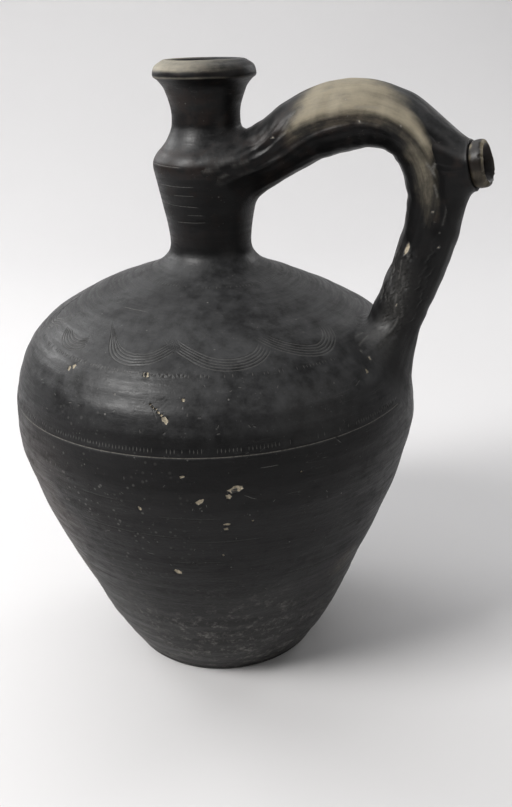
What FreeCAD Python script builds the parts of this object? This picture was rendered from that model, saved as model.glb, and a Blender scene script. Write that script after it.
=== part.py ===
"""Smoke-fired black clay water jug with a hollow loop handle that carries a small drinking spout.

The jug is thrown and luted from separate clay pieces: a floor pad, two belly sections, a neck in two
sections, a coiled mouth rim, a hollow handle tube with a wad of clay at each end, a flared spout base
and a spout ring. Each piece is one closed solid, and neighbours meet face to face.

Millimetres. The origin is the centre of the flat underside, +Z is up, and the handle and the spout lie
in the plane y = 0, towards +X; the spout itself turns a few degrees towards -Y.
"""

import FreeCAD, Part
import math
import os

V = FreeCAD.Vector

# ------------------------------------------------------------------ driving dimensions
HEIGHT = 320.0               # underside to the crest of the mouth rim
FOOT_RADIUS = 54.0           # flat underside
FLOOR_THICKNESS = 8.0
BELLY_RADIUS = 107.9         # widest place of the jug
BELLY_HEIGHT = 143.5
LOWER_WALL = 6.0             # wall of the lower belly
UPPER_WALL = 5.2             # wall of the upper belly and shoulder
NECK_RADIUS = 20.6           # narrowest place of the lower neck
NECK_HEIGHT = 230.0
NECK_BORE_RADIUS = 15.8
RIDGE_RADIUS = 27.5          # crest of the ridge round the neck
RIDGE_HEIGHT = 271.0
THROAT_RADIUS = 16.9         # narrowest place of the upper neck
THROAT_HEIGHT = 293.0
THROAT_BORE_RADIUS = 12.0    # straight bore that a stopper seats in
THROAT_BORE_LENGTH = 10.0
RIM_RADIUS = 25.0            # outer corner of the mouth rim
RIM_CREST_RADIUS = 19.2      # crest of the mouth rim

HANDLE_WALL = 4.6
DRAIN_RADIUS = 9.0           # hole through the shoulder into the handle
SPOUT_TILT = math.radians(13)     # above the horizontal
SPOUT_TURN = math.radians(9)      # from the handle's plane towards -Y
SPOUT_FACE = V(137.2, -3.6, 274.2)   # centre of the spout's open end
SPOUT_RADIUS = 11.0
SPOUT_RING_LENGTH = 6.5
SPOUT_BORE_RADIUS = 6.0
SPOUT_BORE_DEPTH = 26.0      # from the open end into the hollow of the handle
LIP_CHAMFER = 1.1

# Outline of the belly and shoulder, radius and height, from the foot to the neck.
BELLY_OUTLINE = [
    (55.2, 2.6),
    (68.4, 25.5),
    (81.4, 57.3),
    (94.4, 89.2),
    (104.2, 121.0),
    (BELLY_RADIUS, BELLY_HEIGHT),
    (105.2, 164.5),
    (95.7, 184.6),
    (79.1, 197.6),
    (53.4, 210.2),
    (31.5, 218.8),
    (NECK_RADIUS, NECK_HEIGHT),
]
# Joints between the thrown sections, and beyond the two ends: a sloping line across the wall, from its
# inner to its outer end, radius and height.
UNDERSIDE = [(0.0, -1.0), (60.0, -1.0)]
FLOOR_JOINT = [(44.5, 8.6), (60.0, 3.4)]
GIRTH_JOINT = [(96.0, 161.0), (112.0, 153.0)]
NECK_JOINT = [(13.0, 228.0), (27.5, 221.5)]
RIDGE_JOINT = [(17.0, 271.5), (31.0, 265.0)]
RIM_JOINT = [(12.5, 308.0), (27.5, 311.5)]
ABOVE_RIM = [(12.5, HEIGHT + 1), (27.5, HEIGHT + 1)]

# Centre line of the handle, x and z, and its outer radius, from inside the neck to inside the shoulder.
HANDLE_STATIONS = [
    (14.0, 270.0, 12.4),
    (30.0, 277.0, 13.2),
    (41.0, 282.6, 14.4),
    (52.0, 288.2, 15.9),
    (63.5, 292.4, 16.6),
    (76.0, 294.9, 16.3),
    (88.0, 294.2, 14.9),
    (98.5, 290.2, 13.9),
    (107.3, 281.8, 13.9),
    (113.0, 269.5, 14.0),
    (114.6, 254.5, 13.5),
    (112.0, 238.0, 13.2),
    (107.2, 221.5, 13.1),
    (101.4, 205.0, 13.2),
    (94.6, 188.0, 13.6),
    (86.4, 170.0, 14.2),
]
# Wads of clay round the two ends of the handle, in the same terms.
UPPER_WAD_STATIONS = [
    (42.0, 283.1, 15.2),
    (33.0, 278.5, 14.8),
    (23.0, 274.0, 15.4),
    (12.0, 269.5, 17.0),
]
LOWER_WAD_STATIONS = [
    (106.0, 217.5, 13.7),
    (101.6, 205.0, 14.2),
    (95.6, 191.0, 15.8),
    (88.4, 175.5, 18.8),
    (80.6, 159.0, 22.5),
]
# Flare of the spout base: distance behind the ring along the spout's axis, half height and half width.
SPOUT_FLARE = [
    (0.0, 11.8, 11.4),
    (3.5, 14.2, 12.0),
    (8.0, 21.0, 12.6),
    (12.0, 27.0, 12.4),
    (18.0, 33.0, 11.0),
]

FAR = 160.0                  # beyond every outline


# ------------------------------------------------------------------ edges in the plane y = 0
def point(pair):
    return V(pair[0], 0, pair[1])


def line(start, end):
    return Part.LineSegment(point(start), point(end)).toShape()


def arc(start, middle, end):
    return Part.Arc(point(start), point(middle), point(end)).toShape()


def spline(points, start, end):
    """Smooth curve through the points that leaves and arrives along the given directions."""
    curve = Part.BSplineCurve()
    places = [point(p) for p in points]
    curve.interpolate(Points=places, InitialTangent=point(start), FinalTangent=point(end))
    return curve


def offset_inward(curve, place, depth):
    """The place inside the wall, square to an outline that runs from the foot up."""
    tangent = curve.tangent(curve.parameter(point(place)))[0]
    return (place[0] - depth * tangent.z, place[1] + depth * tangent.x)


# ------------------------------------------------------------------ outlines of the thrown body
def belly_curve():
    return spline(BELLY_OUTLINE, start=(30, 50), end=(0, 30))


def outer_edges():
    """Outside of the jug from the centre of the underside to the crest of the rim."""
    foot_top = BELLY_OUTLINE[0]
    ridge_foot = (26.6, 265.6)
    ridge_top = (26.0, 275.4)
    rim_foot = (24.6, 312.8)
    rim_shoulder = (24.1, 316.6)
    rim_bevel = (21.6, 319.0)
    lower_neck = [(NECK_RADIUS, NECK_HEIGHT), (21.9, 242.0), (24.5, 255.0), ridge_foot]
    throat_waist = (THROAT_RADIUS, THROAT_HEIGHT)
    throat = [ridge_top, (21.3, 280.5), (17.8, 286.9), throat_waist, (17.9, 300.0), (20.4, 306.8), rim_foot]
    return [
        line((0, 0), (FOOT_RADIUS, 0)),
        arc((FOOT_RADIUS, 0), (55.0, 1.2), foot_top),
        belly_curve().toShape(),
        spline(lower_neck, start=(0, 12), end=(2.4, 10)).toShape(),
        arc(ridge_foot, (RIDGE_RADIUS, RIDGE_HEIGHT), ridge_top),
        spline(throat, start=(-6, 3.6), end=(4.6, 4.2)).toShape(),
        arc(rim_foot, (RIM_RADIUS, 314.6), rim_shoulder),
        line(rim_shoulder, rim_bevel),
        arc(rim_bevel, (20.5, 319.7), (RIM_CREST_RADIUS, HEIGHT)),
    ]


def inner_edges():
    """Inside of the jug from the crest of the rim to the centre of the floor."""
    lip = (16.9, 317.2)
    bore_top = (THROAT_BORE_RADIUS, THROAT_HEIGHT + THROAT_BORE_LENGTH / 2)
    bore_foot = (THROAT_BORE_RADIUS, THROAT_HEIGHT - THROAT_BORE_LENGTH / 2)
    mouth = [lip, (15.4, 309.5), (13.4, 303.0), bore_top]
    neck_foot = (NECK_BORE_RADIUS, NECK_HEIGHT)
    neck = [bore_foot, (14.8, 280.5), (19.0, 272.5), (20.8, 264.5), (19.0, 253.0), (16.8, 241.0), neck_foot]
    outline = belly_curve()
    belly = [neck_foot]
    for place in reversed(BELLY_OUTLINE[2:-1]):
        wall = UPPER_WALL if place[1] > BELLY_HEIGHT else LOWER_WALL
        belly.append(offset_inward(outline, place, wall))
    floor_edge = (45.5, FLOOR_THICKNESS)
    wall_foot = (51.2, 11.5)
    belly += [(62.0, 28.0), wall_foot]
    return [
        arc((RIM_CREST_RADIUS, HEIGHT), (17.8, 319.3), lip),
        spline(mouth, start=(-1, -7), end=(0, -6)).toShape(),
        line(bore_top, bore_foot),
        spline(neck, start=(0, -6), end=(0, -10)).toShape(),
        spline(belly, start=(0, -22), end=(-12, -18)).toShape(),
        arc(wall_foot, (48.9, 9.0), floor_edge),
        line(floor_edge, (0, FLOOR_THICKNESS)),
    ]


def wall_face():
    """Half section of the clay, from the floor to the rim."""
    return Part.Face(Part.Wire(outer_edges() + inner_edges() + [line((0, FLOOR_THICKNESS), (0, 0))]))


def revolved(face):
    return face.revolve(V(0, 0, 0), V(0, 0, 1), 360)


def filled_jug():
    """The jug's outside with nothing hollow, which trims what is luted on to it."""
    top = [line((RIM_CREST_RADIUS, HEIGHT), (0, HEIGHT)), line((0, HEIGHT), (0, 0))]
    return revolved(Part.Face(Part.Wire(outer_edges() + top)))


def level_line(joint):
    """The joint carried on level from its two ends, in to the axis and out past every outline."""
    return [(0, joint[0][1])] + joint + [(FAR, joint[1][1])]


def thrown_section(lower, upper):
    """Ring of wall between two joints."""
    corners = [point(p) for p in level_line(lower) + level_line(upper)[::-1]]
    region = Part.Face(Part.makePolygon(corners + corners[:1]))
    return revolved(wall_face().common(region).Faces[0])


# ------------------------------------------------------------------ handle and wads
def tube(stations, inset=0.0):
    """Loft through circles square to the centre line, smaller than the stated radii by the inset."""
    rings = []
    last = len(stations) - 1
    for i, (x, z, radius) in enumerate(stations):
        before = stations[max(i - 1, 0)]
        after = stations[min(i + 1, last)]
        along = V(after[0] - before[0], 0, after[1] - before[1])
        rings.append(Part.Wire(Part.makeCircle(radius - inset, V(x, 0, z), along)))
    return Part.makeLoft(rings, True, False)


def handle_hollow():
    return tube(HANDLE_STATIONS, HANDLE_WALL)


def drain_hole():
    """Passage through the shoulder wall, along the last stretch of the handle's centre line."""
    start = HANDLE_STATIONS[-3]
    end = HANDLE_STATIONS[-1]
    along = V(end[0] - start[0], 0, end[1] - start[1])
    return Part.makeCylinder(DRAIN_RADIUS, 1.4 * along.Length, V(start[0], 0, start[1]), along)


# ------------------------------------------------------------------ spout
def spout_axis():
    level = math.cos(SPOUT_TILT)
    return V(level * math.cos(SPOUT_TURN), -level * math.sin(SPOUT_TURN), math.sin(SPOUT_TILT))


def spout_place(distance):
    """Point on the spout's axis, the distance behind its open end."""
    return SPOUT_FACE - spout_axis() * distance


def spout_bore():
    length = SPOUT_BORE_DEPTH + 1
    return Part.makeCylinder(SPOUT_BORE_RADIUS, length, spout_place(SPOUT_BORE_DEPTH), spout_axis())


def spout_flare():
    """Loft through upright ellipses that grow towards the handle."""
    across = V(math.sin(SPOUT_TURN), math.cos(SPOUT_TURN), 0)
    upright = spout_axis().cross(across)
    rings = []
    for distance, half_height, half_width in SPOUT_FLARE:
        centre = spout_place(SPOUT_RING_LENGTH + distance)
        ellipse = Part.Ellipse(centre + upright * half_height, centre + across * half_width, centre)
        rings.append(Part.Wire(ellipse.toShape()))
    return Part.makeLoft(rings, True, False)


def spout_ring():
    """Short straight ring with a chamfered lip."""
    root = spout_place(SPOUT_RING_LENGTH)
    blank = Part.makeCylinder(SPOUT_RADIUS, SPOUT_RING_LENGTH, root, spout_axis())
    circles = [e for e in blank.Edges if isinstance(e.Curve, Part.Circle)]
    lip = [e for e in circles if (e.Curve.Center - SPOUT_FACE).Length < 0.1]
    return blank.makeChamfer(LIP_CHAMFER, lip).cut(spout_bore())


# ------------------------------------------------------------------ pieces
def build():
    jug = filled_jug()
    handle = tube(HANDLE_STATIONS)
    bore = spout_bore()
    return {
        "floor_pad": thrown_section(UNDERSIDE, FLOOR_JOINT),
        "belly_lower": thrown_section(FLOOR_JOINT, GIRTH_JOINT),
        "belly_upper": thrown_section(GIRTH_JOINT, NECK_JOINT).cut(drain_hole()),
        "neck_lower": thrown_section(NECK_JOINT, RIDGE_JOINT),
        "neck_upper": thrown_section(RIDGE_JOINT, RIM_JOINT),
        "mouth_rim": thrown_section(RIM_JOINT, ABOVE_RIM),
        "handle_tube": handle.cut([jug, handle_hollow(), bore]),
        "handle_wad_upper": tube(UPPER_WAD_STATIONS).cut([jug, handle]),
        "handle_wad_lower": tube(LOWER_WAD_STATIONS).cut([jug, handle]),
        "spout_base": spout_flare().cut([handle, bore]),
        "spout_ring": spout_ring(),
    }


def main():
    os.makedirs("parts", exist_ok=True)
    for name, shape in build().items():
        solid, = shape.Solids
        state = "valid" if solid.isValid() else "NOT VALID"
        print(name, state, round(solid.Volume), "mm3")
        solid.exportStep("parts/" + name + ".step")


main()
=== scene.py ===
"""Looks of a smoke-fired black clay water jug with a hollow spout handle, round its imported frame.

Every clay piece of the frame is replaced by a finished mesh: the thrown body with its throwing marks,
comb-incised waves, rouletted ticks, girth line and chips, the pulled handle that flows into the neck and
the shoulder, and the chipped spout. Lengths in this script are millimetres and angles are degrees unless
a name says otherwise; meshes are written in metres. The handle lies in the plane y = 0, towards +X.
"""
import bpy
import math
import random
import numpy as np
from mathutils import Matrix, Vector
from mathutils.geometry import delaunay_2d_cdt


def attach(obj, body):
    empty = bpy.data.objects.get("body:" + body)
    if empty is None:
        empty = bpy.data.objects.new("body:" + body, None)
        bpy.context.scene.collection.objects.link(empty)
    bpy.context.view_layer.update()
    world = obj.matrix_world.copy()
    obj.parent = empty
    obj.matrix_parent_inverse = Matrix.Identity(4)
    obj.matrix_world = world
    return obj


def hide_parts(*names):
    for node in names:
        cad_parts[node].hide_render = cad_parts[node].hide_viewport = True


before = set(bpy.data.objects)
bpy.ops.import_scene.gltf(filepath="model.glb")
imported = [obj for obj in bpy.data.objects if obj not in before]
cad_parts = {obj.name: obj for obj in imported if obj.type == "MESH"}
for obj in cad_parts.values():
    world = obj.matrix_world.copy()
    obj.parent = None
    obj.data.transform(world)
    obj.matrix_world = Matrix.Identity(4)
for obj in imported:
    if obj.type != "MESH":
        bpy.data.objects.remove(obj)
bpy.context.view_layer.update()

MM = 0.001
TAU = 2 * math.pi

# ---------------------------------------------------------------- the thrown body's outline
# Radius and height up the outside, over the crest of the rim and down into the mouth.
OUTLINE = [
    (53.2, 0.0), (54.4, 0.5), (55.4, 2.4), (57.6, 6.2), (61.6, 12.8), (68.4, 25.5), (74.9, 41.0),
    (81.4, 57.3), (88.2, 73.4), (94.4, 89.2), (99.8, 105.0), (104.2, 121.0), (106.9, 132.5),
    (107.9, 143.5), (107.3, 153.0), (105.2, 164.5), (101.6, 175.4), (95.7, 184.6), (88.2, 191.8),
    (79.1, 197.6), (66.6, 204.2), (53.4, 210.2), (41.0, 215.0), (31.2, 219.0), (24.6, 223.4),
    (21.3, 228.6), (21.0, 234.5), (21.9, 242.0), (24.5, 255.0), (26.0, 262.3), (27.0, 267.0),
    (27.5, 270.4), (27.2, 272.8), (25.9, 275.4), (23.7, 278.1), (21.3, 280.8), (19.2, 284.0),
    (17.8, 287.2), (16.9, 292.8), (17.8, 300.0), (20.1, 306.4), (22.3, 309.9), (23.7, 311.2),
    (24.7, 311.8), (25.2, 312.6), (25.2, 313.9), (24.9, 315.4), (24.4, 316.6), (23.6, 317.5),
    (22.0, 318.6), (20.4, 319.6), (19.3, 320.0), (18.3, 319.7), (17.4, 318.4), (16.5, 315.4),
    (15.7, 311.8), (15.0, 308.6),
]
RIM_CREST = OUTLINE.index((19.3, 320.0))
CAMERA_SIDE = 22.0            # degrees by which the view is turned round from straight on to the handle
COLUMNS = 360                 # vertices round the body
SEAM = 112.0                  # bearing of the seam, on the side away from the view
UNROLLED = 90.0               # radius on which the body is unrolled
COLUMN_BEARINGS = np.linspace(SEAM - 360, SEAM, COLUMNS + 1)


def natural_spline(knots, values, at):
    """Cubic with continuous curvature through the values at the knots, read at the given places."""
    knots, values = np.asarray(knots, float), np.asarray(values, float)
    n = len(knots)
    gap = np.diff(knots)
    matrix = np.eye(n)
    right = np.zeros(n)
    for i in range(1, n - 1):
        matrix[i, i - 1:i + 2] = gap[i - 1], 2 * (gap[i - 1] + gap[i]), gap[i]
        right[i] = 6 * ((values[i + 1] - values[i]) / gap[i] - (values[i] - values[i - 1]) / gap[i - 1])
    bend = np.linalg.solve(matrix, right)
    i = np.clip(np.searchsorted(knots, at) - 1, 0, n - 2)
    left, rest = at - knots[i], knots[i + 1] - at
    return ((bend[i] * rest ** 3 + bend[i + 1] * left ** 3) / (6 * gap[i])
            + (values[i] / gap[i] - bend[i] * gap[i] / 6) * rest
            + (values[i + 1] / gap[i] - bend[i + 1] * gap[i] / 6) * left)


class Curve2:
    """Smooth curve through points of the plane, read by its length from the start."""

    def __init__(self, points, extra=None):
        points = np.asarray(points, float)
        steps = np.hypot(*np.diff(points, axis=0).T)
        self.knots = np.concatenate([[0.0], np.cumsum(steps)])
        self.length = self.knots[-1]
        self.fine = np.linspace(0, self.length, 8001)
        self.x = natural_spline(self.knots, points[:, 0], self.fine)
        self.z = natural_spline(self.knots, points[:, 1], self.fine)
        self.extra = None if extra is None else natural_spline(self.knots, extra, self.fine)

    def at(self, s):
        return np.interp(s, self.fine, self.x), np.interp(s, self.fine, self.z)

    def direction(self, s):
        step = 0.05
        x0, z0 = self.at(np.clip(s - step, 0, self.length))
        x1, z1 = self.at(np.clip(s + step, 0, self.length))
        size = np.hypot(x1 - x0, z1 - z0)
        return (x1 - x0) / size, (z1 - z0) / size


body_outline = Curve2(OUTLINE)
outside_part = body_outline.fine <= body_outline.knots[RIM_CREST]


def length_at(height):
    """Length along the outside, from the foot, at which the outline reaches a height."""
    return np.interp(height, body_outline.z[outside_part], body_outline.fine[outside_part])


# Joints between the thrown pieces, as lengths along the outside.
SECTIONS = ["floor_pad", "belly_lower", "belly_upper", "neck_lower", "neck_upper", "mouth_rim"]
JOINT_HEIGHTS = [4.6, 154.0, 222.6, 266.8, 310.8]
joints = [0.0] + [float(length_at(h)) for h in JOINT_HEIGHTS] + [body_outline.length]

# ---------------------------------------------------------------- relief of hand-thrown clay
wheel = random.Random(11)
RING_WAVES = [  # pitch, phase, lean
    (wheel.uniform(4.0, 15.0), wheel.uniform(0, TAU), wheel.uniform(0, TAU))
    for _ in range(14)
]
DENTS = [  # lobes, pitch, phase, turn
    (wheel.randint(1, 5), wheel.uniform(26, 70), wheel.uniform(0, TAU), wheel.uniform(0, TAU))
    for _ in range(12)
]
RING_STEEPNESS = 150          # pitch of a throwing ring for each millimetre of its height
RING_STRENGTH = 0.55
DENT_DEPTH = 0.085
NECK_SHARE = 0.25             # strength of the dents on the neck, of their strength on the belly

# The jug left the wheel askew: heights and spreads of the dipped shoulder and of the leaning lower belly.
DIP_HEIGHT, DIP_SPREAD, DIP_SLOPE = 207.0, 17.0, -0.024
LEAN_HEIGHT, LEAN_SPREAD, LEAN = 82.0, 48.0, -0.8


def throwing_relief(bearing, s):
    """Height of the throwing rings and soft dents above the outline, for bearings in radians."""
    rings = np.zeros_like(s)
    for pitch, phase, lean in RING_WAVES:
        rings += np.sin(TAU * s / pitch + phase + 0.5 * np.sin(bearing + lean)) * pitch / RING_STEEPNESS
    soft = np.zeros_like(s)
    for lobes, pitch, phase, turn in DENTS:
        soft += np.sin(lobes * bearing + turn) * np.sin(TAU * s / pitch + phase)
    swell = 0.6 + 0.4 * np.sin(s / 31.0 + 1.0)
    thin_neck = np.clip((np.interp(s, body_outline.fine, body_outline.x) - 12) / 60, NECK_SHARE, 1)
    return rings * swell * RING_STRENGTH + soft * DENT_DEPTH * thin_neck


def out_of_true(points):
    """Points moved as the clay sagged: one shoulder dips and the lower belly leans."""
    across = math.radians(CAMERA_SIDE)
    side = points[:, 0] * math.cos(across) + points[:, 1] * math.sin(across)
    height = points[:, 2]
    dip = np.exp(-((height - DIP_HEIGHT) / DIP_SPREAD) ** 2) * side * DIP_SLOPE
    lean = np.exp(-((height - LEAN_HEIGHT) / LEAN_SPREAD) ** 2) * LEAN
    moved = points.copy()
    moved[:, 0] += lean * math.cos(across)
    moved[:, 1] += lean * math.sin(across)
    moved[:, 2] += dip
    return moved


def body_points(bearing, s, lift=0.0):
    """Points on the finished outside for bearings in radians and lengths s, raised by the lift."""
    bearing, s = np.asarray(bearing, float), np.asarray(s, float)
    r, z = body_outline.at(s)
    tr, tz = body_outline.direction(s)
    height = throwing_relief(bearing, s) * np.clip(s / 6.0, 0, 1) + lift
    r = r + tz * height
    z = z - tr * height
    points = np.column_stack([r * np.cos(bearing), r * np.sin(bearing), z])
    return out_of_true(points)


# ---------------------------------------------------------------- marks cut into the clay
class Marks:
    """Grooves, ticks and chips on the unrolled body: points with a depth and a paleness, and edges."""

    def __init__(self):
        self.places = []
        self.depths = []
        self.pales = []
        self.edges = []

    def add(self, place, depth, pale):
        self.places.append(place)
        self.depths.append(depth)
        self.pales.append(pale)
        return len(self.places) - 1

    def chain(self, indices, closed=False):
        self.edges += list(zip(indices, indices[1:]))
        if closed:
            self.edges.append((indices[-1], indices[0]))

    def rails(self, path, profile):
        """Runs offset copies of a path of (bearing, s). The profile lists offset, depth and paleness."""
        path = np.asarray(path, float)
        radius = body_outline.at(path[:, 1])[0]
        flat = np.column_stack([np.radians(path[:, 0]) * radius, path[:, 1]])
        along = np.gradient(flat, axis=0)
        along /= np.hypot(*along.T)[:, None]
        count = len(path)
        fade = np.clip(np.minimum(np.arange(count), np.arange(count)[::-1]) / (0.1 * count), 0, 1)
        for offset, depth, pale in profile:
            bearing = path[:, 0] + np.degrees(-along[:, 1] * offset / radius)
            s = path[:, 1] + along[:, 0] * offset
            line = [self.add((b, t), depth * f, pale * f) for b, t, f in zip(bearing, s, fade)]
            self.chain(line)

    def ring(self, heights, profile):
        """A groove right round, at a height that is a function of the bearing."""
        s = length_at(heights(COLUMN_BEARINGS))
        for offset, depth, pale in profile:
            line = [self.add((b, t + offset), depth, pale) for b, t in zip(COLUMN_BEARINGS, s)]
            self.chain(line)

    def tick(self, bearing, s, length, width, depth):
        """A short upright dent."""
        turn = math.degrees(width / body_outline.at(s)[0])
        corners = [(bearing, s + length / 2), (bearing - turn, s),
                   (bearing, s - length / 2), (bearing + turn, s)]
        outline = [self.add(c, 0.0, 0.0) for c in corners]
        self.chain(outline, closed=True)
        bottom = [self.add((bearing, s + d * length), depth, 1.8 * depth) for d in (-0.28, 0.28)]
        self.chain(bottom)

    def chip(self, bearing, height, width, tall, tilt, rng, depth=0.55):
        """A flake broken off the burnished skin, with a ragged outline and a pale floor."""
        s = float(length_at(height))
        radius = body_outline.at(s)[0]
        corners = 15
        ragged = [rng.uniform(0.72, 1.2) for _ in range(corners)]
        for scale, sunk, pale in ((1.0, 0.0, 0.0), (0.86, depth * 0.8, 1.0), (0.4, depth, 1.0)):
            ring = []
            for i, ray in enumerate(ragged):
                angle = TAU * i / corners
                across = math.cos(angle) * width / 2 * ray * scale
                up = math.sin(angle) * tall / 2 * ray * scale
                x = across * math.cos(tilt) - up * math.sin(tilt)
                y = across * math.sin(tilt) + up * math.cos(tilt)
                ring.append(self.add((bearing + math.degrees(x / radius), s + y), sunk, pale))
            self.chain(ring, closed=True)


def groove(reach, edge, lip, depth, pale):
    """Offsets, depths and paleness across one scored line, with the clay raised at its edges."""
    return [(-reach, 0.0, 0.0), (-edge, -lip, 0.0), (0.0, depth, pale),
            (edge, -lip, 0.0), (reach, 0.0, 0.0)]


SCRATCH = groove(1.0, 0.28, 0.02, 0.14, 0.6)
FAINT_SCORE = groove(1.1, 0.3, 0.03, 0.15, 0.22)
GIRTH_LINE = groove(1.2, 0.38, 0.04, 0.26, 0.8)

COMB_TEETH = 5
COMB_GAP = 1.6
TOOTH = 0.38                  # half the width of a tooth's groove
# The comb grooves' paleness is partly dust in them and partly a painted glint of light along them.
TOOTH_LIP, TOOTH_DEPTH, TOOTH_PALE_AND_GLINT = 0.03, 0.27, 0.42
STROKE_POINTS = 48

GARLAND = [  # bearing and height of points on the topmost line, one list for each swag
    [(-129.1, 197.4), (-126.0, 196.4), (-122.4, 195.9), (-118.8, 196.4), (-116.6, 198.0)],
    [(-110.2, 202.2), (-104.7, 199.0), (-100.4, 197.0), (-95.6, 196.0), (-89.9, 196.9), (-86.9, 198.6),
     (-82.3, 202.0)],
    [(-82.2, 201.4), (-78.8, 199.9), (-74.4, 198.1), (-69.0, 196.2), (-63.6, 195.6), (-59.0, 196.1),
     (-54.9, 197.7), (-52.3, 200.2)],
    [(-48.5, 202.0), (-44.7, 199.8), (-40.5, 198.0), (-35.2, 196.6), (-31.9, 196.4), (-29.0, 197.2),
     (-25.3, 199.5), (-24.4, 201.4)],
]


def comb_profile():
    """Offsets, depths and paleness across a comb stroke: grooves with flat lands between them."""
    rails = [(0.5 * COMB_GAP, 0.0, 0.0)]
    for tooth in range(COMB_TEETH):
        centre = -tooth * COMB_GAP
        rails += [(centre + TOOTH, -TOOTH_LIP, 0.0), (centre, TOOTH_DEPTH, TOOTH_PALE_AND_GLINT),
                  (centre - TOOTH, -TOOTH_LIP, 0.0), (centre - COMB_GAP / 2, 0.0, 0.0)]
    return rails


def smooth_path(points, count):
    """Points on a smooth path through places of (bearing, height), as (bearing, s)."""
    places = np.array([(bearing, float(length_at(height))) for bearing, height in points])
    reach = np.concatenate([[0.0], np.cumsum(np.hypot(*np.diff(places, axis=0).T))])
    at = np.linspace(0, reach[-1], count)
    return np.column_stack([natural_spline(reach, places[:, k], at) for k in (0, 1)])


def comb_stroke(marks, points):
    """One swag of parallel lines, drawn with the comb held square to its path."""
    marks.rails(smooth_path(points, STROKE_POINTS), comb_profile())


# First and last bearing of the regular swags on the rest of the shoulder. The comb's stroke is several
# degrees wide, and the outer edge of the last one ends 0.2 degrees past SEAM. That one point draws stray
# triangles along the whole seam, and leaves belly_lower, belly_upper, neck_lower and neck_upper open there.
PLAIN_SWAGS = [
    (-246, -220), (-218, -191), (-189, -164), (-161, -137), (26, 52), (54, 80), (82, 108),
]


def incised_waves(marks):
    """A garland of comb strokes right round the shoulder, each starting where the last one rose."""
    for points in GARLAND:
        comb_stroke(marks, points)
    rng = random.Random(5)
    for start, end in PLAIN_SWAGS:
        width = end - start
        deep = 196.2 + rng.uniform(-0.5, 0.5)
        side = rng.uniform(-0.06, 0.06)
        comb_stroke(marks, [(start, 202.2), (start + width * (0.16 + side), 198.9),
                            (start + width * 0.5, deep), (start + width * (0.84 + side), 198.8),
                            (end, 202.4)])


def girth_height(bearings):
    """The girth line was drawn on a jug that stood a little askew."""
    return 158.4 + 1.7 * np.cos(np.radians(bearings - CAMERA_SIDE))


TICK_ROWS = [  # height at a bearing, pitch, length and depth of the ticks
    (lambda bearing: girth_height(bearing) + 3.0, 1.75, 3.0, 0.34),
    (lambda bearing: 190.5, 1.8, 2.6, 0.3),
    (lambda bearing: 216.6, 1.7, 2.0, 0.24),
]
TICK_HALF_WIDTH = 0.38
HANDLE_COVERS = (-30, 24)     # bearings between which the handle's root hides the middle row


def rouletting(marks):
    """Three rows of small dents rolled into the shoulder, worn away in places."""
    for row, (height, pitch, length, depth) in enumerate(TICK_ROWS):
        rng = random.Random(40 + row)
        radius = body_outline.at(length_at(height(0.0)))[0]
        count = int(TAU * radius / pitch)
        for i in range(count):
            bearing = SEAM - 360 + (i + 0.5) * 360 / count
            strength = 0.5 + 0.5 * math.sin(bearing / 23.0 + row) * math.sin(bearing / 9.0 + 2 * row)
            if rng.random() > 0.35 + 0.75 * strength:
                continue
            if row == 1 and HANDLE_COVERS[0] < bearing < HANDLE_COVERS[1]:
                continue
            s = float(length_at(height(bearing))) + rng.uniform(-0.15, 0.15)
            tall = length * rng.uniform(0.8, 1.1)
            marks.tick(bearing, s, tall, TICK_HALF_WIDTH, depth * rng.uniform(0.7, 1.2))


CHIPS = [  # bearing, height, width, tall, tilt in radians
    (-64.5, 143.0, 8.5, 3.4, 0.2), (-66.2, 139.4, 3.2, 2.6, -0.6), (-73.2, 136.8, 5.2, 2.4, 0.6),
    (-66.6, 123.4, 3.6, 1.7, 0.1), (-66.9, 120.4, 2.4, 2.2, 0.0), (-81.0, 91.1, 3.2, 5.0, 0.8),
    (-88.4, 190.3, 4.0, 2.6, 0.1), (-77.0, 182.5, 1.9, 1.9, 0.0), (-85.6, 180.3, 1.6, 1.2, 0.3),
    (-84.9, 179.2, 1.2, 1.6, 0.8), (-84.0, 178.6, 1.4, 1.0, 0.2), (-83.2, 177.4, 1.2, 1.8, 0.7),
    (-82.4, 176.4, 1.3, 1.5, 0.9), (-115.7, 187.2, 2.2, 3.0, 0.3),
    (-114.2, 188.2, 2.6, 2.8, 0.0), (-81.3, 174.4, 2.8, 4.4, 0.7), (-20.9, 181.8, 2.8, 3.2, 0.4),
    (-60.1, 124.4, 1.4, 1.4, 0.0), (-67.7, 103.1, 1.3, 1.6, 0.0), (-88.6, 131.0, 1.8, 2.6, 0.5),
    (-48.0, 147.0, 1.3, 1.3, 0.0), (-77.2, 149.5, 2.6, 1.4, 0.2), (33.0, 120.0, 4.0, 2.4, 0.4),
    (75.0, 170.0, 2.2, 2.8, 0.2), (-170.0, 96.0, 5.0, 2.8, 0.5), (-205.0, 150.0, 2.6, 2.0, 0.1),
    (-220.0, 60.0, 3.4, 4.2, 0.9), (-150.0, 176.0, 1.8, 1.8, 0.0), (95.0, 84.0, 2.4, 3.0, 1.1),
]


def scratch_path(bearing, height, run, rise, wander, rng):
    """A wandering line of a given run and rise on the surface."""
    s = float(length_at(height))
    radius = body_outline.at(s)[0]
    steps = max(6, int(math.hypot(run, rise) / 1.3))
    path = []
    drift = 0.0
    for i in range(steps + 1):
        t = i / steps
        drift += rng.uniform(-wander, wander)
        path.append((bearing + math.degrees(run * t / radius), s + rise * t + drift))
    return path


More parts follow.
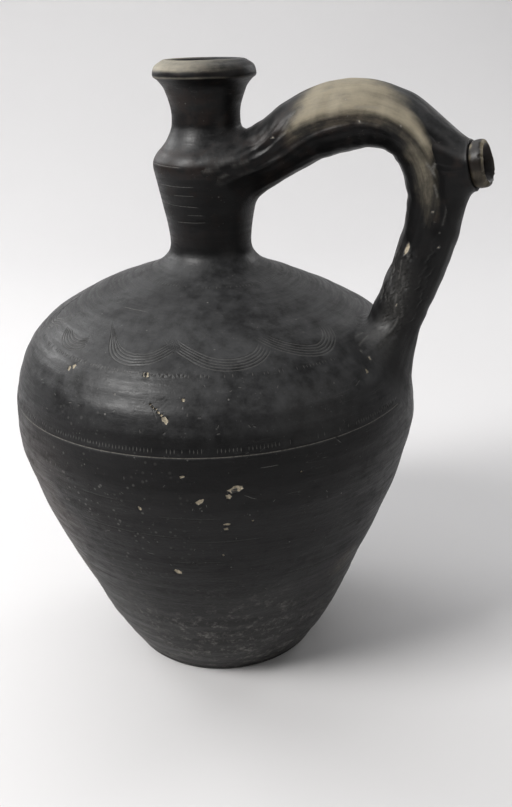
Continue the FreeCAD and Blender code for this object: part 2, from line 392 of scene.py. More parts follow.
SCRATCHES = [  # bearing, height, run, rise
    (-124.4, 208.0, 3.6, 4.2), (-85.6, 180.6, 4.0, -7.0), (-117.0, 208.0, 16.0, 1.0),
    (-62.5, 139.6, 6.0, -3.2), (-58.5, 152.1, 9.0, 0.5), (-37.9, 158.9, 3.0, -3.0),
]
BELLY_SCORES = [  # height, bearing, run
    (116.0, -112.0, 62.0), (127.0, -84.0, 30.0), (98.0, -82.0, 26.0), (112.0, -76.0, 34.0),
    (84.0, -50.0, 40.0), (134.0, -106.0, 22.0), (75.0, -130.0, 44.0), (104.0, -30.0, 34.0),
    (92.0, 40.0, 50.0), (120.0, -210.0, 60.0), (68.0, -190.0, 40.0),
]
NECK_SCORES = [  # height, bearing, run
    (262.9, -136.0, 24.0), (253.6, -132.0, 22.0), (244.9, -116.0, 17.0), (272.6, -158.0, 30.0),
    (258.6, -112.0, 12.0), (249.0, -98.0, 9.0), (259.0, 60.0, 12.0), (248.0, -210.0, 16.0),
]
NICK = 1.6                    # length of the shortest scratches


def scratches(marks):
    """Fine scored lines left on the leather-hard clay and by use."""
    rng = random.Random(77)
    for bearing, height, run, rise in SCRATCHES:
        marks.rails(scratch_path(bearing, height, run, rise, 0.12, rng), SCRATCH)
    for _ in range(30):
        bearing = rng.uniform(SEAM - 350, SEAM - 20)
        height = rng.choice((rng.uniform(20, 145), rng.uniform(166, 186)))
        run, rise = rng.uniform(2, 6), rng.uniform(-3, 3)
        marks.rails(scratch_path(bearing, height, run, rise, 0.1, rng), SCRATCH)
    for _ in range(70):
        bearing = rng.gauss(-88, 38)
        height = rng.choice((rng.uniform(96, 148), rng.uniform(165, 187), rng.uniform(30, 100)))
        turn = rng.uniform(0, math.pi)
        run, rise = NICK * math.cos(turn), NICK * math.sin(turn)
        marks.rails(scratch_path(bearing, height, run, rise, 0.05, rng), SCRATCH)
    for height, bearing, run in BELLY_SCORES:
        marks.rails(scratch_path(bearing, height, run, rng.uniform(-1.0, 1.0), 0.07, rng), FAINT_SCORE)
    for height, bearing, run in NECK_SCORES:
        marks.rails(scratch_path(bearing, height, run, rng.uniform(-0.6, 0.6), 0.06, rng), SCRATCH)


def all_marks():
    """Every mark on the body, with the joints between the thrown pieces among them as plain lines."""
    marks = Marks()
    for joint in joints:
        marks.chain([marks.add((b, joint), 0.0, 0.0) for b in COLUMN_BEARINGS])
    incised_waves(marks)
    rouletting(marks)
    marks.ring(girth_height, GIRTH_LINE)
    scratches(marks)
    rng = random.Random(3)
    for bearing, height, width, tall, tilt in CHIPS:
        marks.chip(bearing, height, width, tall, tilt, rng)
    return marks


# ---------------------------------------------------------------- the body's skin
BELLY_PITCH, NECK_PITCH, EDGE_PITCH = 1.7, 0.9, 0.55   # spacing of rows, closest on the rim and the foot
BELLY_RADIUS = 60             # the belly's spacing starts at this radius
CLEARANCE = 0.8               # room left between a mark and the plain vertices
CROSSING_DEPTH = 0.12         # depth where two marks cross


def row_lengths():
    """Lengths at which the skin has rows of vertices, with every joint among them."""
    rows = []
    for low, high in zip(joints, joints[1:]):
        middle = 0.5 * (low + high)
        radius = body_outline.at(middle)[0]
        pitch = BELLY_PITCH if radius > BELLY_RADIUS else NECK_PITCH
        if high in (joints[1], joints[-1]):
            pitch = EDGE_PITCH
        count = max(4, round((high - low) / pitch))
        rows += list(np.linspace(low, high, count + 1)[:-1])
    return rows + [joints[-1]]


def grid_without(marks, rows):
    """Grid vertices on the unrolled body, leaving room round every mark."""

    def cell(bearing, s):
        return int(math.radians(bearing) * UNROLLED // CLEARANCE), int(s // CLEARANCE)

    taken = set()
    for bearing, s in marks.places:
        i, j = cell(bearing, s)
        taken.update((i + a, j + b) for a in (-1, 0, 1) for b in (-1, 0, 1))
    places = []
    for s in rows:
        for n, bearing in enumerate(COLUMN_BEARINGS):
            at_seam = n in (0, COLUMNS)
            if s in joints or at_seam or cell(bearing, s) not in taken:
                places.append((bearing, s))
    return places


class Skin:
    """Vertices, triangles, normals and paleness of the whole outside of the body."""

    def __init__(self):
        marks = all_marks()
        places = grid_without(marks, row_lengths())
        first = len(places)
        places += marks.places
        lift = np.concatenate([np.zeros(first), -np.array(marks.depths)])
        pale = np.concatenate([np.zeros(first), np.array(marks.pales)])
        flat = [Vector((math.radians(b) * UNROLLED, s)) for b, s in places]
        edges = [(a + first, b + first) for a, b in marks.edges]
        verts, _, faces, origins, _, _ = delaunay_2d_cdt(flat, edges, [], 0, 1e-5)
        count = len(verts)
        bearing = np.array([v.x for v in verts]) / UNROLLED
        s = np.array([v.y for v in verts])
        lifts, pales = np.zeros(count), np.zeros(count)
        for i, sources in enumerate(origins):
            if sources:
                lifts[i] = min(lift[j] for j in sources)
                pales[i] = max(pale[j] for j in sources)
            else:
                lifts[i] = -CROSSING_DEPTH
        self.bearing, self.s, self.pale = bearing, s, pales
        self.points = body_points(bearing, s, lifts)
        faces = np.array([f for f in faces if len(f) == 3])
        faces = self.weld(faces)
        self.faces = self.outward(faces)
        self.normals = vertex_normals(self.points, self.faces)

    def weld(self, faces):
        """Joins the two sides of the seam and drops what is left without area."""
        low, high = math.radians(SEAM - 360), math.radians(SEAM)
        left = {round(self.s[i], 3): i for i in np.where(np.abs(self.bearing - low) < 1e-4)[0]}
        alias = np.arange(len(self.s))
        for i in np.where(np.abs(self.bearing - high) < 1e-4)[0]:
            alias[i] = left.get(round(self.s[i], 3), i)
        faces = alias[faces]
        distinct = np.all(faces != np.roll(faces, 1, axis=1), axis=1)
        return faces[distinct]

    def outward(self, faces):
        """Turns every triangle to face out, by its turn in the plan or, across the seam, in space."""
        corner = [self.points[faces[:, k]] for k in range(3)]
        normal = np.cross(corner[1] - corner[0], corner[2] - corner[0])
        plan = np.column_stack([self.bearing * UNROLLED, self.s])
        a, b, c = (plan[faces[:, k]] for k in range(3))
        wrapped = np.ptp([a[:, 0], b[:, 0], c[:, 0]], axis=0) > UNROLLED * math.pi
        flat_turn = (b[:, 0] - a[:, 0]) * (c[:, 1] - a[:, 1]) - (b[:, 1] - a[:, 1]) * (c[:, 0] - a[:, 0])
        middle = (corner[0] + corner[1] + corner[2]) / 3
        s = self.s[faces].mean(axis=1)
        tr, tz = body_outline.direction(s)
        radius = np.hypot(middle[:, 0], middle[:, 1])
        out = np.column_stack([tz * middle[:, 0] / radius, tz * middle[:, 1] / radius, -tr])
        facing = np.where(wrapped, np.einsum("ij,ij->i", normal, out), flat_turn)
        flip = facing < 0
        faces = faces.copy()
        faces[flip] = faces[flip][:, ::-1]
        return faces


def vertex_normals(points, faces):
    """Normals at the vertices of triangles, each weighted by the triangle's area."""
    corner = [points[faces[:, k]] for k in range(3)]
    normal = np.cross(corner[1] - corner[0], corner[2] - corner[0])
    total = np.zeros_like(points)
    for k in range(3):
        np.add.at(total, faces[:, k], normal)
    size = np.linalg.norm(total, axis=1)
    return total / np.maximum(size, 1e-12)[:, None]


# ---------------------------------------------------------------- meshes
def finish_mesh(points, faces, normals, attributes, material, node):
    """Makes one piece from points in millimetres, with its own normals and vertex attributes."""
    name = f"{node}_clay"
    mesh = bpy.data.meshes.new(name)
    mesh.from_pydata((np.asarray(points) * MM).tolist(), [], [tuple(int(i) for i in f) for f in faces])
    mesh.update()
    mesh.polygons.foreach_set("use_smooth", [True] * len(mesh.polygons))
    for attribute, values in attributes.items():
        values = np.asarray(values, float)
        if values.ndim == 2:
            layer = mesh.attributes.new(attribute, "FLOAT_VECTOR", "POINT")
            layer.data.foreach_set("vector", values.ravel())
        else:
            layer = mesh.attributes.new(attribute, "FLOAT", "POINT")
            layer.data.foreach_set("value", values)
    mesh.normals_split_custom_set_from_vertices(np.asarray(normals).tolist())
    mesh.materials.append(material)
    piece = bpy.data.objects.new(name, mesh)
    bpy.context.scene.collection.objects.link(piece)
    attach(piece, "root")
    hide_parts(node)


def grain_round_axis(points, s):
    """Texture place that runs slowly round the body and quickly along its outline."""
    return np.column_stack([points[:, 0], points[:, 1], s * 9.0])


def rim_wear(points, s):
    """How far the lip is worn pale: its bevel on one side, and its crest and lower edge further round."""
    bearing = np.arctan2(points[:, 1], points[:, 0])
    edge, crest = float(length_at(312.2)), body_outline.knots[RIM_CREST]
    side = 0.5 + 0.5 * np.cos(bearing + math.radians(150))
    bevel = smoothstep(edge + 1.5, edge + 4.0, s) * (1 - smoothstep(crest + 0.4, crest + 2.4, s)) * side
    lower_edge = 0.8 * np.exp(-((s - edge) / 0.7) ** 2) * (0.3 + 0.7 * side)
    further_round = 0.45 + 0.45 * np.cos(bearing + math.radians(105))
    crest_line = np.exp(-((s - crest + 0.3) / 0.9) ** 2) * further_round
    return np.where(points[:, 2] > 300, np.maximum.reduce([bevel, lower_edge, crest_line]), 0.0)


INNER_WALLS = {  # radius and height down the inside of each thrown piece, from its upper joint to its lower
    "floor_pad": [(0.0, 4.6)],
    "belly_lower": [(101.0, 151.0), (98.0, 121.0), (88.3, 89.2), (75.4, 57.3), (62.4, 25.5), (52.0, 9.5),
                    (0.0, 9.0), (0.0, 4.8)],
    "belly_upper": [(15.5, 225.6), (28.8, 213.4), (51.0, 204.2), (75.9, 191.8), (91.0, 180.6),
                    (99.4, 162.4), (101.0, 153.8)],
    "neck_lower": [(21.0, 266.0), (19.3, 255.0), (16.9, 242.0), (15.8, 234.0), (16.2, 226.0)],
    "neck_upper": [(14.9, 309.5), (13.2, 303.0), (12.0, 298.0), (12.0, 288.0), (17.0, 277.0),
                   (20.6, 267.2)],
    "mouth_rim": [],
}


def thrown_piece(skin, node, low, high, material):
    """Makes a piece from one stretch of the skin, between two joints, and the inside wall behind it."""
    middle = skin.s[skin.faces].mean(axis=1)
    faces = skin.faces[(middle > low) & (middle < high)]
    used = np.unique(faces)
    place = np.full(len(skin.s), -1)
    place[used] = np.arange(len(used))
    faces = [tuple(place[f]) for f in faces]
    points = list(skin.points[used])
    normals = list(skin.normals[used])
    s = list(skin.s[used])
    pale = list(skin.pale[used])

    def joint_row(at):
        row = used[np.abs(skin.s[used] - at) < 1e-3]
        return [int(i) for i in place[row[np.argsort(skin.bearing[row])]]]

    lower, upper = joint_row(low), joint_row(high)
    count = len(lower)
    if len(upper) != count:
        raise ValueError(f"{node}: {count} vertices below and {len(upper)} above")
    previous = upper
    for radius, height in INNER_WALLS[node]:
        pole = radius == 0
        start = len(points)
        bearings = [0.0] if pole else skin.bearing[used[lower]]
        for bearing in bearings:
            points.append(np.array([radius * math.cos(bearing), radius * math.sin(bearing), height]))
            normals.append(np.array([-math.cos(bearing), -math.sin(bearing), 0.0]))
            s.append(low)
            pale.append(0.0)
        ring = [start] * count if pole else list(range(start, start + count))
        faces += bridge(previous, ring)
        previous = ring
    if node == "floor_pad":
        start = len(points)
        points.append(np.array([0.0, 0.0, 0.0]))
        normals.append(np.array([0.0, 0.0, -1.0]))
        s.append(0.0)
        pale.append(0.0)
        faces += [(a, start, b) for a, b in zip(lower, lower[1:] + lower[:1])]
    else:
        faces += bridge(previous, lower)
    points, s = np.array(points), np.array(s)
    attributes = {"grain": grain_round_axis(points, s), "pale": pale, "rubbed": rim_wear(points, s)}
    finish_mesh(points, faces, normals, attributes, material, node)


def bridge(above, below):
    """Faces of an inside wall from one ring down to the next, as triangles where they meet in a point."""
    count = len(above)
    faces = []
    for i in range(count):
        after = (i + 1) % count
        face = tuple(dict.fromkeys((above[i], above[after], below[after], below[i])))
        if len(face) > 2:
            faces.append(face)
    return faces


# ---------------------------------------------------------------- the pulled handle
HANDLE_LINE = [  # x, height and radius along the middle of the tube, from the neck to the shoulder
    (14.0, 270.0, 12.4), (30.0, 275.6, 13.8), (41.0, 281.9, 15.2), (52.0, 288.6, 15.9),
    (63.5, 292.9, 16.6), (76.0, 295.2, 16.0), (88.0, 294.4, 14.7), (98.5, 290.2, 13.9),
    (107.3, 281.8, 13.8), (113.0, 269.5, 13.8), (114.7, 254.5, 13.4), (112.0, 238.0, 13.1),
    (107.0, 221.5, 13.0), (100.8, 205.0, 13.0), (94.2, 188.0, 13.4), (86.4, 170.0, 14.0),
]
handle_line = Curve2([station[:2] for station in HANDLE_LINE], [station[2] for station in HANDLE_LINE])
TUBE_START, TUBE_END = 26.0, handle_line.knots[13] + 1.0
HANDLE_COLUMNS = 180
HANDLE_PITCH = 0.85
HANDLE_WALL = 4.4
UPPER_ROOT_ROWS, LOWER_ROOT_ROWS = 40, 56
UPPER_HEART, LOWER_HEART = (27.0, 0.0, 271.0), (96.0, 0.0, 184.0)   # where the sides of each root aim
LANDING_SINK = 0.05           # how far the edge of a root lies under the body's skin
TUCK_DEPTH, TUCK_OUT = 2.2, 0.6   # how far its first row is tucked under the skin and spread outwards
ROOT_EASING = 1.25            # above 1, the rows of a root are closer near the body
BLEND_ROWS = 15               # rows over which a root takes its shading over from the body

# Where the roots are smeared out on the body: angle round the tube, bearing and height. The angle
# starts on the tube's outer side and turns towards -Y.
UPPER_LANDING = [
    (0, 0, 291.6), (35, -40, 289.4), (65, -70, 282.5), (90, -84, 273.0), (115, -66, 263.0),
    (145, -34, 252.5), (180, 0, 248.0), (215, 34, 252.5), (245, 66, 263.0), (270, 84, 273.0),
    (295, 70, 282.5), (325, 40, 289.4),
]
LOWER_LANDING = [
    (0, 0, 146.0), (16, -5.5, 151.0), (31, -11.0, 161.0), (45, -16.5, 173.0), (59, -20.6, 183.0),
    (72, -20.4, 189.0), (90, -18.0, 193.4), (115, -13.0, 196.6), (145, -6.8, 198.2), (180, 0, 198.8),
    (215, 7.0, 198.4), (250, 14.0, 196.2), (275, 19.0, 191.6), (300, 18.5, 183.0), (320, 13.0, 170.0),
    (340, 6.5, 155.0),
]


def round_spline(table, angles):
    """Periodic curve through a table of (angle, values...), read at angles in degrees."""
    table = np.array(table, float)
    before, after = table.copy(), table.copy()
    before[:, 0] -= 360
    after[:, 0] += 360
    whole = np.concatenate([before, table, after])
    return [natural_spline(whole[:, 0], whole[:, k], angles) for k in range(1, whole.shape[1])]


def unit(vectors):
    """The vectors, each made one long."""
    return vectors / np.maximum(np.linalg.norm(vectors, axis=-1, keepdims=True), 1e-12)


def body_normals(bearing, s):
    """Normals of the true turned body, without its relief."""
    tr, tz = body_outline.direction(s)
    return np.column_stack([tz * np.cos(bearing), tz * np.sin(bearing), -tr])


def bezier(a, b, c, d, t):
    """Rows of points from a to d, leaving a towards b and reaching d from c."""
    t = t[:, None, None]
    return (1 - t) ** 3 * a + 3 * t * (1 - t) ** 2 * b + 3 * t ** 2 * (1 - t) * c + t ** 3 * d


def by_side(top, side, bottom, angles):
    """A length that changes round the tube from its outer side over its flanks to its inner side."""
    cosine = np.cos(angles)
    value = np.where(cosine > 0, side + (top - side) * cosine ** 2, side + (bottom - side) * cosine ** 2)
    return value[:, None]


def tube_ring(t, angles):
    """Points and the forward direction of the round tube at length t."""
    x, z = handle_line.at(t)
    tx, tz = handle_line.direction(t)
    radius = np.interp(t, handle_line.fine, handle_line.extra)
    across = np.cos(angles) * radius
    points = np.column_stack([x - tz * across, -np.sin(angles) * radius, z + tx * across])
    return points, np.array([tx, 0.0, tz])


def root_rows(landing, ring, forward, heart, reach, grip, angles, rows):
    """Rows of a root from its landing on the body to a ring of the tube, and the body's normals there.

    The rows leave the body towards the heart for a length of reach, and join the tube over a length
    of grip.
    """
    bearing, height = round_spline(landing, np.degrees(angles))
    bearing, s = np.radians(bearing), length_at(height)
    foot = body_points(bearing, s, -LANDING_SINK)
    normal = body_normals(bearing, s)
    inward = heart - foot
    inward = unit(inward - np.sum(inward * normal, axis=1, keepdims=True) * normal)
    easing = np.linspace(0, 1, rows) ** ROOT_EASING
    rows_out = bezier(foot, foot + inward * reach, ring - forward * grip, ring, easing)
    under = body_points(bearing, s, -TUCK_DEPTH) - inward * TUCK_OUT
    return np.concatenate([under[None], rows_out]), normal


def handle_grid():
    """Base points of the whole handle: rows from the neck to the shoulder, columns round the tube.

    Also returns the rows' lengths, the columns' angles, the tube's first and last row, and the body's
    normals where each root lands.
    """
    angles = np.linspace(0, TAU, HANDLE_COLUMNS, endpoint=False)
    ring, forward = tube_ring(TUBE_START, angles)
    upper, upper_normals = root_rows(
        UPPER_LANDING, ring, forward, np.array(UPPER_HEART),
        by_side(7.0, 17.0, 8.5, angles), by_side(7.0, 9.0, 11.5, angles), angles, UPPER_ROOT_ROWS,
    )
    steps = np.linspace(TUBE_START, TUBE_END, round((TUBE_END - TUBE_START) / HANDLE_PITCH) + 1)
    tube = np.array([tube_ring(t, angles)[0] for t in steps])
    ring, forward = tube_ring(TUBE_END, angles)
    lower, lower_normals = root_rows(
        LOWER_LANDING, ring, -forward, np.array(LOWER_HEART),
        by_side(22.0, 14.0, 8.5, angles), by_side(15.0, 8.0, 9.0, angles), angles, LOWER_ROOT_ROWS,
    )
    grid = np.concatenate([upper[:-1], tube, lower[::-1][1:]])
    gaps = np.linalg.norm(np.diff(grid, axis=0), axis=2).mean(axis=1)
    along = np.concatenate([[0.0], np.cumsum(gaps)])
    first = len(upper) - 1
    along += TUBE_START - along[first]
    return grid, along, angles, first, first + len(tube) - 1, upper_normals, lower_normals


def grid_normals(grid):
    """Outward normals of a grid that is closed round its columns."""
    along = np.gradient(grid, axis=0)
    along[:2] = grid[2] - grid[1]
    along[-2:] = grid[-2] - grid[-3]
    round_it = (np.roll(grid, -1, axis=1) - np.roll(grid, 1, axis=1)) / 2
    return unit(np.cross(round_it, along))


def smoothstep(low, high, value):
    """0 below low and 1 above high, with a smooth rise between them."""
    t = np.clip((value - low) / (high - low), 0, 1)
    return t * t * (3 - 2 * t)


def turned(angle, centre):
    """Difference of angles in degrees, from -180 to 180."""
    return (np.degrees(angle) - centre + 180) % 360 - 180


FOLDS = [  # creases: (length, angle) of points on them, half width, depth, paleness
    ([(-3, 114), (-1, 113), (10, 105.5), (20, 105), (31, 107), (47, 103), (61, 100), (73, 98), (84, 98),
      (91, 105)], 1.7, 0.55, 0.1),
    ([(-4, 95), (1.5, 94), (10, 93), (16, 92), (25, 85), (36, 80), (42, 66)], 1.2, 0.42, 0.28),
    ([(2, 92), (12.5, 86), (21, 72), (31, 64), (39, 53)], 1.3, 0.3, 0.22),
    ([(-4, 112), (0, 109), (6.4, 100.5), (14, 98)], 1.2, 0.5, 0.26),
    ([(8, 78), (18, 66), (28, 56), (36, 50)], 1.6, 0.2, 0.12),
    ([(184, 72), (198, 69), (209, 61), (217, 59)], 1.8, 0.5, 0.2),
    ([(100, 84), (112, 76), (126, 72), (142, 70)], 2.6, 0.24, 0.0),
    ([(54, 300), (70, 288), (92, 296), (112, 284)], 2.4, 0.35, 0.05),
    ([(2, 262), (14, 268), (30, 280), (44, 296)], 1.6, 0.45, 0.2),
]
GROOVES = [  # cracks of the drying clay: (length, angle) of points on them, half width, depth, paleness
    ([(150, 116), (156, 113), (167, 108), (173.5, 86), (180, 81), (190, 65), (198, 60)], 0.95, 0.7, 0.45),
    ([(158, 164), (167, 160), (173.5, 143), (181, 144), (188, 134)], 0.8, 0.5, 0.4),
    ([(143, 72), (152, 68), (161, 72), (169.5, 69), (180, 66)], 0.7, 0.55, 0.15),
    ([(150, 152), (155, 149), (164, 143), (170, 136), (178, 128), (186, 120)], 0.7, 0.45, 0.5),
    ([(160, 98), (168, 92), (175, 99), (184, 92), (192, 84)], 0.7, 0.4, 0.45),
    ([(166, 126), (173, 118), (180, 116), (190, 104), (198, 98)], 0.7, 0.45, 0.4),
    ([(156, 56), (166, 58), (176, 52), (190, 50)], 0.6, 0.3, 0.1),
    ([(162, 205), (174, 214), (186, 206), (198, 212)], 0.9, 0.45, 0.3),
    ([(158, 246), (170, 238), (182, 246), (194, 236)], 0.9, 0.45, 0.3),
    ([(152, 284), (164, 290), (178, 282), (190, 288)], 0.8, 0.4, 0.3),
]
HANDLE_CHIPS = [  # length, angle, half length, half width, depth
    (153.8, 126, 3.5, 1.35, 0.6), (133.0, 88, 0.7, 0.6, 0.3), (66.0, 62, 0.7, 0.5, 0.25),
    (47.0, 20, 0.8, 0.6, 0.3), (91.0, 84, 0.7, 0.5, 0.25), (148.0, 60, 0.6, 0.6, 0.25),
    (92.0, 300, 2.2, 1.4, 0.5), (30.0, 74, 0.6, 0.6, 0.2), (72.0, 97, 0.8, 0.6, 0.3),
    (181.0, 98, 0.7, 0.6, 0.3), (210.5, 63, 0.8, 0.7, 0.3), (212.5, 74, 0.6, 0.5, 0.3),
]
SCARS = [  # straight scores: two ends as (length, angle), then paleness
    ((113.5, 81), (110.0, 58), 0.7), ((111.0, 88), (117.0, 80), 0.6), ((112.5, 74), (115.5, 84), 0.5),
    ((57.0, 40), (60.0, 33), 0.4), ((70.0, 75), (79.0, 71), 0.35), ((36.0, 72), (44.0, 58), 0.4),
    ((33.0, 80), (40.0, 66), 0.4), ((121.0, 84), (126.0, 80), 0.4), ((128.0, 60), (138.0, 64), 0.3),
    ((160.0, 128), (169.0, 118), 0.5), ((176.0, 108), (184.0, 96), 0.5), ((186.0, 84), (196.0, 76), 0.45),
    ((205.0, 100), (212.0, 82), 0.4), ((208.0, 110), (213.0, 100), 0.4),
]


def handle_marks(along, angles, radius):
    """Relief above the tube, and how pale the clay is, over the whole grid."""
    t, a = np.meshgrid(along, angles, indexing="ij")
    rng = random.Random(21)
    relief = np.zeros_like(t)
    pale = np.zeros_like(t)

    # Flats pressed by the fingers, ripples along the tube, and the fine strokes of smoothing it.
    for lobes in (2, 3, 4, 5, 7):
        pitch, phase, twist = rng.uniform(28, 60), rng.uniform(0, TAU), rng.uniform(-0.02, 0.02)
        relief += np.cos(lobes * a + phase + twist * t + 0.7 * np.sin(t / pitch * 2)) * (0.36 / lobes)
    for _ in range(12):
        pitch, lobes, phase = rng.uniform(7, 22), rng.randint(1, 5), rng.uniform(0, TAU)
        relief += np.sin(TAU * t / pitch + phase + lobes * a) * pitch * 0.0036
    for _ in range(10):
        lobes, lean, phase = rng.randint(9, 24), rng.uniform(-0.12, 0.12), rng.uniform(0, TAU)
        strength = 0.5 + 0.5 * np.sin(t / rng.uniform(9, 20) + phase)
        relief += np.cos(lobes * a + lean * t + phase) * strength * 0.024

    def beside(points):
        """Distance across a line on the tube, and 1 along it fading out at its ends."""
        points = np.array(points, float)
        centre = np.interp(t, points[:, 0], points[:, 1])
        start, end = points[0, 0], points[-1, 0]
        ends = smoothstep(start, start + 5, t) * (1 - smoothstep(end - 7, end, t))
        return np.radians(turned(a, centre)) * radius, ends

    for points, width, depth, light in FOLDS:
        off, ends = beside(points)
        off = off / width
        relief += ends * depth * (1.6 * off * np.exp(-off ** 2) - 0.5 * np.exp(-(off * 2.2) ** 2))
        broken = smoothstep(-0.5, 0.7, np.sin(t / 1.9 + points[0][1]) + 0.6 * np.sin(t / 0.7))
        pale = np.maximum(pale, light * ends * broken * np.exp(-((off - 0.25) * 2.6) ** 2))
    for points, width, depth, light in GROOVES:
        off, ends = beside(points)
        seed = points[0][0]
        off = off + 0.5 * np.sin(t / 1.3 + seed) + 0.35 * np.sin(t / 0.55 + 2 * seed)
        broken = 0.4 + 0.6 * smoothstep(-0.5, 0.4, np.sin(t / 2.3 + seed * 1.7))
        cut = ends * broken * np.exp(-(off / width) ** 2)
        relief += ends * broken * 0.2 * np.exp(-((off - 1.5 * width) / width) ** 2) - depth * cut
        pale = np.maximum(pale, light * ends * broken * np.exp(-((off - 1.2 * width) / (0.8 * width)) ** 2))
    for length, angle, half_long, half_wide, depth in HANDLE_CHIPS:
        off = np.radians(turned(a, angle)) * radius
        turn = np.arctan2(off / half_wide, (t - length) / half_long)
        ragged = 1 + 0.08 * np.sin(3 * turn + angle) + 0.05 * np.sin(7 * turn)
        reach = np.hypot((t - length) / half_long, off / half_wide) / ragged
        inside = 1 - smoothstep(0.78, 1.08, reach)
        relief -= depth * inside
        pale = np.maximum(pale, inside)
    for (t0, a0), (t1, a1), light in SCARS:
        across, run = np.radians(turned(a, a0)) * radius, t1 - t0
        rise = np.radians(a1 - a0) * radius
        share = np.clip(((t - t0) * run + across * rise) / (run ** 2 + rise ** 2), 0, 1)
        distance = np.hypot(t - t0 - share * run, across - share * rise)
        cut = np.exp(-(distance / 0.5) ** 2)
        relief -= 0.14 * cut
        pale = np.maximum(pale, light * cut)
    return relief, pale


def rubbed_cloud(angles, along):
    """Where the handle came out khaki grey: over the top of the arch, in a streak down its inner bend."""
    angle = turned(angles, 0.0)
    begins = np.interp(angle, [-90, 8, 57, 72, 87, 120], [56, 50, 46, 40, 35, 30])
    stops = np.interp(angle, [-90, 0, 49, 69, 80, 120], [66, 78, 90, 106, 114, 118])
    over = smoothstep(begins - 9, begins + 7, along) * (1 - smoothstep(stops - 12, stops + 9, along))
    top = over * smoothstep(-85, -35, angle) * (1 - smoothstep(72, 98, angle))
    under = over * smoothstep(60, 90, angle) * (1 - smoothstep(96, 112, angle)) * 0.35
    streak = smoothstep(88, 104, along) * (1 - smoothstep(116, 156, along))
    streak = streak * np.exp(-(turned(angles, 98.0) / 33.0) ** 2) * 0.5
    return np.maximum.reduce([top, under, streak])


def root_dust(angles, along):
    """Grey dust that stays in the rough clay of the handle's lower root."""
    centre = np.interp(along, [150, 160, 186, 200, 214], [140, 125, 96, 88, 92])
    reach = smoothstep(148, 170, along) * (1 - smoothstep(196, 216, along))
    return reach * np.exp(-(turned(angles, centre) / 30.0) ** 2) * 0.2


def thicken(points, normals, faces, wall):
    """Closes an open patch with an inner copy of itself and walls along its edges."""
    count = len(points)
    edges = {}
    for face in faces:
        for a, b in zip(face, face[1:] + face[:1]):
            edges[(a, b)] = True
    closed = list(faces) + [tuple(i + count for i in reversed(face)) for face in faces]
    closed += [(b, a, a + count, b + count) for a, b in edges if (b, a) not in edges]
    inner = points - normals * wall
    return np.concatenate([points, inner]), np.concatenate([normals, -normals]), closed


SPOUT_FACE = np.array([137.6, -3.6, 275.2])
SPOUT_AXIS = np.array([0.96238, -0.15243, 0.22495])
SPOUT_BORE = 6.0
BORE_MARGIN = 1.2             # clay left out of the tube round the bore
TUBE_BEHIND_FACE = 30         # faces further back than this, on the tube's far side, stay whole
RING_LENGTH = 6.5
BORE_LENGTH = 18.4


